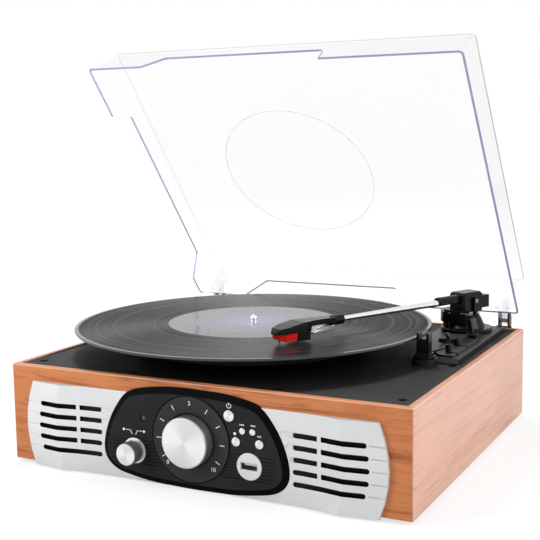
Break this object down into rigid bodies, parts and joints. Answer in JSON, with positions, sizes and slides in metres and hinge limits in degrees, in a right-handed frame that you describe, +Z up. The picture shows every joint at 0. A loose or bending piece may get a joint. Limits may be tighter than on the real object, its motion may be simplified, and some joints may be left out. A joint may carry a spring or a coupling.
{
  "type": "turntable",
  "caption": "Belt-driven turntable in a wood cabinet with speakers, front dial panel, tonearm, record and hinged clear cover.",
  "frame": {"origin": "centre of the underside of the cabinet floor; the rubber feet reach 3 mm below it", "axes": "+Z up, +X to the right seen from the front, +Y from the front panel to the back"},
  "size_m": [0.3442, 0.3362, 0.3297],
  "materials": {
    "wood": "satin",
    "inner_wood": "matte",
    "silver_plastic": "satin",
    "gloss_black": "gloss",
    "satin_black": "satin",
    "brushed_aluminium": "brushed",
    "steel": "satin",
    "chrome": "polished",
    "vinyl": "gloss",
    "label": "satin",
    "red_plastic": "gloss",
    "rubber": "matte",
    "cloth": "matte",
    "clear_acrylic": "polished",
    "lamp_red": "gloss",
    "board_green": "satin",
    "brass": "polished",
    "floor_board": "matte"
  },
  "bodies": {
    "cabinet": {"cabinet_front": "wood", "cabinet_back": "wood", "cabinet_left": "wood", "cabinet_right": "wood", "cabinet_cleats": "inner_wood", "floor_panel": "floor_board", "screws": "steel", "rubber_feet": "rubber", "deck_plate": "satin_black", "front_trim": "silver_plastic", "speaker_cloth": "cloth", "speakers": "satin_black", "control_panel": "gloss_black", "volume_ring": "gloss_black", "volume_control": "steel", "mode_switch": "satin_black", "standby_lamp": "lamp_red", "usb_bezel": "silver_plastic", "usb_socket": "steel", "control_board": "board_green", "main_board": "board_green", "jack_panel": "satin_black", "line_sockets": "brass", "power_inlet": "satin_black", "bearing_housing": "brass", "motor": "steel", "drive_belt": "rubber", "arm_base": "satin_black", "arm_rest": "satin_black", "arm_turret": "satin_black", "hinge_clips": "satin_black"},
    "cover": {"dust_cover": "clear_acrylic"},
    "turning_platter": {"platter": "satin_black", "platter_mat": "rubber", "spindle": "chrome", "record": "vinyl", "record_label": "label"},
    "pulley": {"motor_pulley": "brass"},
    "arm_swivel": {"arm_yoke": "satin_black", "gimbal_screws": "chrome"},
    "arm": {"arm_block": "satin_black", "arm_tube": "chrome", "headshell": "satin_black", "cartridge": "satin_black", "stylus": "red_plastic", "cartridge_leads": "steel"},
    "cue_handle": {"cue_lever": "satin_black"},
    "cue_lift": {"cue_platform": "satin_black"},
    "speed_slider": {"speed_lever": "satin_black"},
    "stop_slider": {"stop_lever": "satin_black"},
    "volume": {"volume_knob": "brushed_aluminium", "volume_shaft": "steel"},
    "mode": {"mode_knob": "brushed_aluminium", "mode_shaft": "steel"},
    "standby_button": {"button_power": "brushed_aluminium"},
    "previous_button": {"button_previous": "brushed_aluminium"},
    "next_button": {"button_next": "brushed_aluminium"},
    "record_button": {"button_record": "brushed_aluminium"},
    "play_button": {"button_play": "brushed_aluminium"}
  },
  "joints": [
    {"name": "cover_hinge", "type": "hinge", "parent": "cabinet", "child": "cover", "pos_m": [0, 0.1527, 0.0827], "axis": [1, 0, 0], "range_deg": [0, 51.2]},
    {"name": "platter_spin", "type": "hinge", "parent": "cabinet", "child": "turning_platter", "pos_m": [-0.0262, -0.0045, 0.08], "axis": [0, 0, 1], "continuous": true},
    {"name": "pulley_spin", "type": "hinge", "parent": "cabinet", "child": "pulley", "pos_m": [-0.08206, 0.05136, 0.08], "axis": [0, 0, 1], "continuous": true},
    {"name": "arm_swing", "type": "hinge", "parent": "cabinet", "child": "arm_swivel", "pos_m": [0.12685, 0.1065, 0.095], "axis": [0, 0, 1], "range_deg": [-14, 26.6]},
    {"name": "arm_lift", "type": "hinge", "parent": "arm_swivel", "child": "arm", "pos_m": [0.12685, 0.1065, 0.1078], "axis": [-0.9063, 0.4226, 0], "range_deg": [0, 0.9]},
    {"name": "cue_turn", "type": "hinge", "parent": "cabinet", "child": "cue_handle", "pos_m": [0.143, 0.066, 0.0837], "axis": [-1, 0, 0], "range_deg": [0, 40]},
    {"name": "cue_rise", "type": "slide", "parent": "cabinet", "child": "cue_lift", "axis": [0, 0, 1], "range_m": [0, 0.0024]},
    {"name": "speed_slide", "type": "slide", "parent": "cabinet", "child": "speed_slider", "axis": [1, 0, 0], "range_m": [0, 0.006]},
    {"name": "stop_slide", "type": "slide", "parent": "cabinet", "child": "stop_slider", "axis": [1, 0, 0], "range_m": [0, 0.006]},
    {"name": "volume_turn", "type": "hinge", "parent": "cabinet", "child": "volume", "pos_m": [0, -0.149, 0.0362], "axis": [0, 1, 0], "range_deg": [-32, 212]},
    {"name": "mode_turn", "type": "hinge", "parent": "cabinet", "child": "mode", "pos_m": [-0.048, -0.149, 0.0226], "axis": [0, 1, 0], "range_deg": [-30, 30]},
    {"name": "standby_press", "type": "slide", "parent": "cabinet", "child": "standby_button", "axis": [0, 1, 0], "range_m": [0, 0.0008], "stiffness_N_per_m": 400},
    {"name": "previous_press", "type": "slide", "parent": "cabinet", "child": "previous_button", "axis": [0, 1, 0], "range_m": [0, 0.0008], "stiffness_N_per_m": 400},
    {"name": "next_press", "type": "slide", "parent": "cabinet", "child": "next_button", "axis": [0, 1, 0], "range_m": [0, 0.0008], "stiffness_N_per_m": 400},
    {"name": "record_press", "type": "slide", "parent": "cabinet", "child": "record_button", "axis": [0, 1, 0], "range_m": [0, 0.0008], "stiffness_N_per_m": 400},
    {"name": "play_press", "type": "slide", "parent": "cabinet", "child": "play_button", "axis": [0, 1, 0], "range_m": [0, 0.0008], "stiffness_N_per_m": 400}
  ],
  "couplings": [
    {"joint": "pulley_spin", "follows": "platter_spin", "ratio": 12},
    {"joint": "cue_turn", "follows": "cue_rise", "rad_per_m": 290.8}
  ]
}
